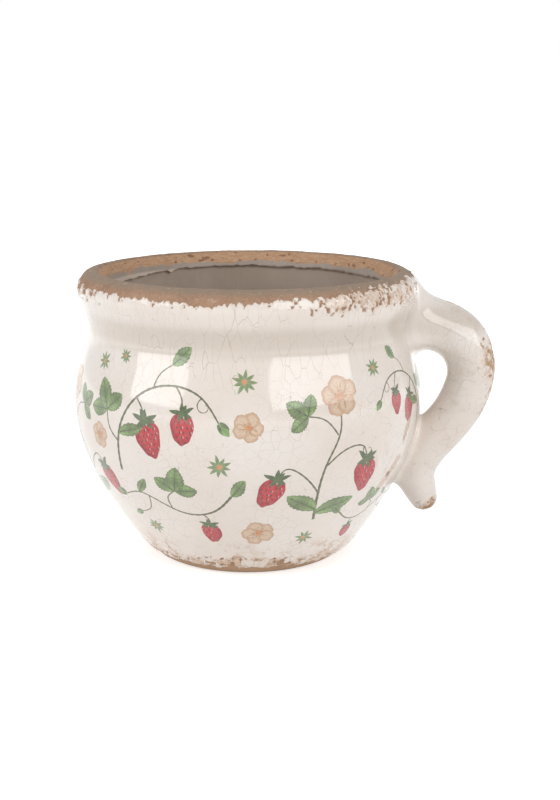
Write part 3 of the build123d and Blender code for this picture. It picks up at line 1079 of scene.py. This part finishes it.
def upright_spray(place, phase):
    """Stems that rise from one root, with a blossom, two berries on bowed stalks, a trefoil and leaves."""
    draw_stems(
        place,
        ([(2, -34), (-1, -18), (0, -2), (4, 12), (3, 22)], 1.4, 0.7),
        ([(-1, -18), (-12, -8), (-19, -6), (-22, -11)], 0.85, 0.6),
        ([(0, -4), (10, 4), (18, 4), (21, -2)], 0.85, 0.6),
        ([(3, 10), (-5, 17), (-12, 18)], 0.75, 0.55),
    )
    berry(place, -22, -11, -0.16, 14.0, phase + 1)
    berry(place, 21, -2, 0.12, 15.0, phase + 3)
    blossom(place, 3, 27, 0.2 + phase, 16)
    leaflet(place, 1, -28, 0.95, 18, 8.5, -0.15, 8)
    leaflet(place, 1, -30, -1.0, 20, 8.5, 0.14, 8)
    trefoil(place, -12, 18, 1.1, 11.5, phase)
    curl(place, 18, 4, 1.2, 7)


def runner(place, phase):
    """A low wavy runner with a trefoil, one berry, two buds and two leaflets."""
    draw_stems(
        place,
        ([(-32, 4), (-20, -6), (-6, -8), (8, -1), (20, 4), (31, 1)], 1.2, 0.7),
        ([(-14, -8), (-16, -12), (-15, -15)], 0.75, 0.55),
        ([(2, -4), (2, 3), (-3, 7)], 0.8, 0.6),
        ([(14, 2), (17, -7), (24, -10)], 0.7, 0.5),
    )
    berry(place, -15, -15, 0.1, 12.0, phase)
    trefoil(place, -3, 7, 0.3, 14.5, phase + 1)
    bud(place, 31, 1, -1.3, 8)
    bud(place, 24, -10, -1.9, 6.5)
    leaflet(place, -32, 4, 0.9, 13, 6.5, 0.12, 6)
    leaflet(place, 20, 4, 0.5, 11, 5.5, -0.12, 6)


# Layout: angle round the pot in degrees, height in mm, turn in radians, scale, mirror
hanging_spray((-118, 79, 0.10, 1.0, 1), 0.0)
upright_spray((-64, 63, -0.08, 1.0, 1), 1.3)
runner((-117, 41, 0.06, 0.88, -1), 0.6)
hanging_spray((-30, 84, -0.10, 0.72, -1), 2.1)
runner((-37, 33, 0.10, 0.60, 1), 1.9)
upright_spray((-163, 61, 0.06, 0.96, -1), 3.0)
hanging_spray((150, 80, -0.06, 1.0, -1), 1.1)
runner((158, 41, 0.04, 0.90, 1), 2.6)
upright_spray((104, 63, 0.10, 1.0, 1), 0.4)
runner((60, 41, -0.06, 0.86, -1), 0.2)
hanging_spray((57, 83, 0.06, 0.90, 1), 2.8)
star_places = (  # angle, height, size
    (-91, 97, 11), (-99, 60, 11), (-45, 99, 8.5), (-131, 25, 9), (-146, 100, 9), (-66, 22, 9), (-135, 104, 7),
    (125, 99, 9), (126, 28, 9), (84, 97, 9), (31, 60, 9), (24, 88, 8), (-178, 26, 8), (40, 22, 8),
)
for angle, height, size in star_places:
    star((angle, height, 0.3 * angle, 1.0, 1), 0, 0, 0, size, 8 + int(angle) % 2)
for angle, height, size in ((-90, 78, 12), (-86, 26, 13), (-145, 67, 11), (131, 60, 12), (77, 61, 12)):
    blossom((angle, height, 0.2 * angle, 1.0, 1), 0, 0, 0, size)
for ink in (stems, leaves, veins, berries, calyxes, seeds, glints, petals, hearts, stars):
    ink.finish()



def white_rays(tree):
    """A socket that is 1 for rays that come from the camera, a reflection or glass, and 0 for the others."""
    rays = node(tree, "ShaderNodeLightPath").outputs
    shown = rays["Is Camera Ray"]
    for kind in ("Is Glossy Ray", "Is Transmission Ray"):
        shown = node(tree, "ShaderNodeMath", {0: shown, 1: rays[kind]}, operation="MAXIMUM").outputs[0]
    return shown


# Floor: it keeps the pot's shadow and turns to plain white further away
floor_reach = 3.0
floor_gap = 0.0002
corners = [(x * floor_reach, y * floor_reach, -floor_gap) for x, y in ((-1, -1), (1, -1), (1, 1), (-1, 1))]
floor_mesh = bpy.data.meshes.new("floor")
floor_mesh.from_pydata(corners, [], [(0, 1, 2, 3)])
floor = bpy.data.objects.new("floor", floor_mesh)
bpy.context.collection.objects.link(floor)
w = Wiring("floor_white")
w.set("Base Color", (0.92, 0.92, 0.92))
w.set("Roughness", 0.9)
w.set("Emission Color", (1, 1, 1))
glow = w.fade(w.axis_distance(), 0.25, 1.1, 0.60, 1.0)
w.set("Emission Strength", w.times(white_rays(w.tree), glow))
floor_mesh.materials.append(w.material)

# Lights
lit_point = Vector((0, 0, 0.075))


def softbox(name, azimuth, elevation, distance, width, height, power):
    """A rectangular light facing the pot. Azimuth 0 is the camera's side, and positive is to its right."""
    a, e = math.radians(azimuth), math.radians(elevation)
    place = Vector((math.sin(a) * math.cos(e), -math.cos(a) * math.cos(e), math.sin(e))) * distance
    light = bpy.data.lights.new(name, "AREA")
    light.shape = "RECTANGLE"
    light.size, light.size_y = width, height
    light.energy = power
    thing = bpy.data.objects.new(name, light)
    thing.location = lit_point + place
    thing.rotation_euler = (-place).to_track_quat("-Z", "Y").to_euler()
    bpy.context.collection.objects.link(thing)


softbox("softbox_left", -62, 20, 1.5, 1.05, 0.85, 9.4)
softbox("softbox_right", 43, 20, 1.5, 1.60, 0.75, 10.4)
softbox("softbox_top", 0, 88, 1.6, 2.2, 2.2, 6)

world = bpy.data.worlds.new("studio")
bpy.context.scene.world = world
world.use_nodes = True
tree = world.node_tree
tree.nodes.clear()
white = node(tree, "ShaderNodeBackground", {"Color": (1, 1, 1), "Strength": 1.0})
ambient = node(tree, "ShaderNodeBackground", {"Color": (1, 0.985, 0.97), "Strength": 0.31})
blend = node(tree, "ShaderNodeMixShader", {0: white_rays(tree), 1: ambient.outputs[0], 2: white.outputs[0]})
node(tree, "ShaderNodeOutputWorld", {0: blend.outputs[0]})

# Camera: it looks down at aim_height on the axis from the photograph's distance, and its shift frames the pot
camera_distance = 0.7875
aim_height = 0.0668
look_down = math.radians(12.4)
camera_data = bpy.data.cameras.new("camera")
camera = bpy.data.objects.new("camera", camera_data)
bpy.context.collection.objects.link(camera)
back, up = camera_distance * math.cos(look_down), camera_distance * math.sin(look_down)
camera.location = (0, -back, aim_height + up)
camera.rotation_euler = (math.radians(90) - look_down, 0, 0)
camera_data.sensor_width = 36
camera_data.lens = 74.25
camera_data.shift_x = 0.04
camera_data.shift_y = 0.0156
camera_data.clip_start = 0.05
bpy.context.scene.camera = camera
bpy.context.scene.view_settings.view_transform = "Standard"
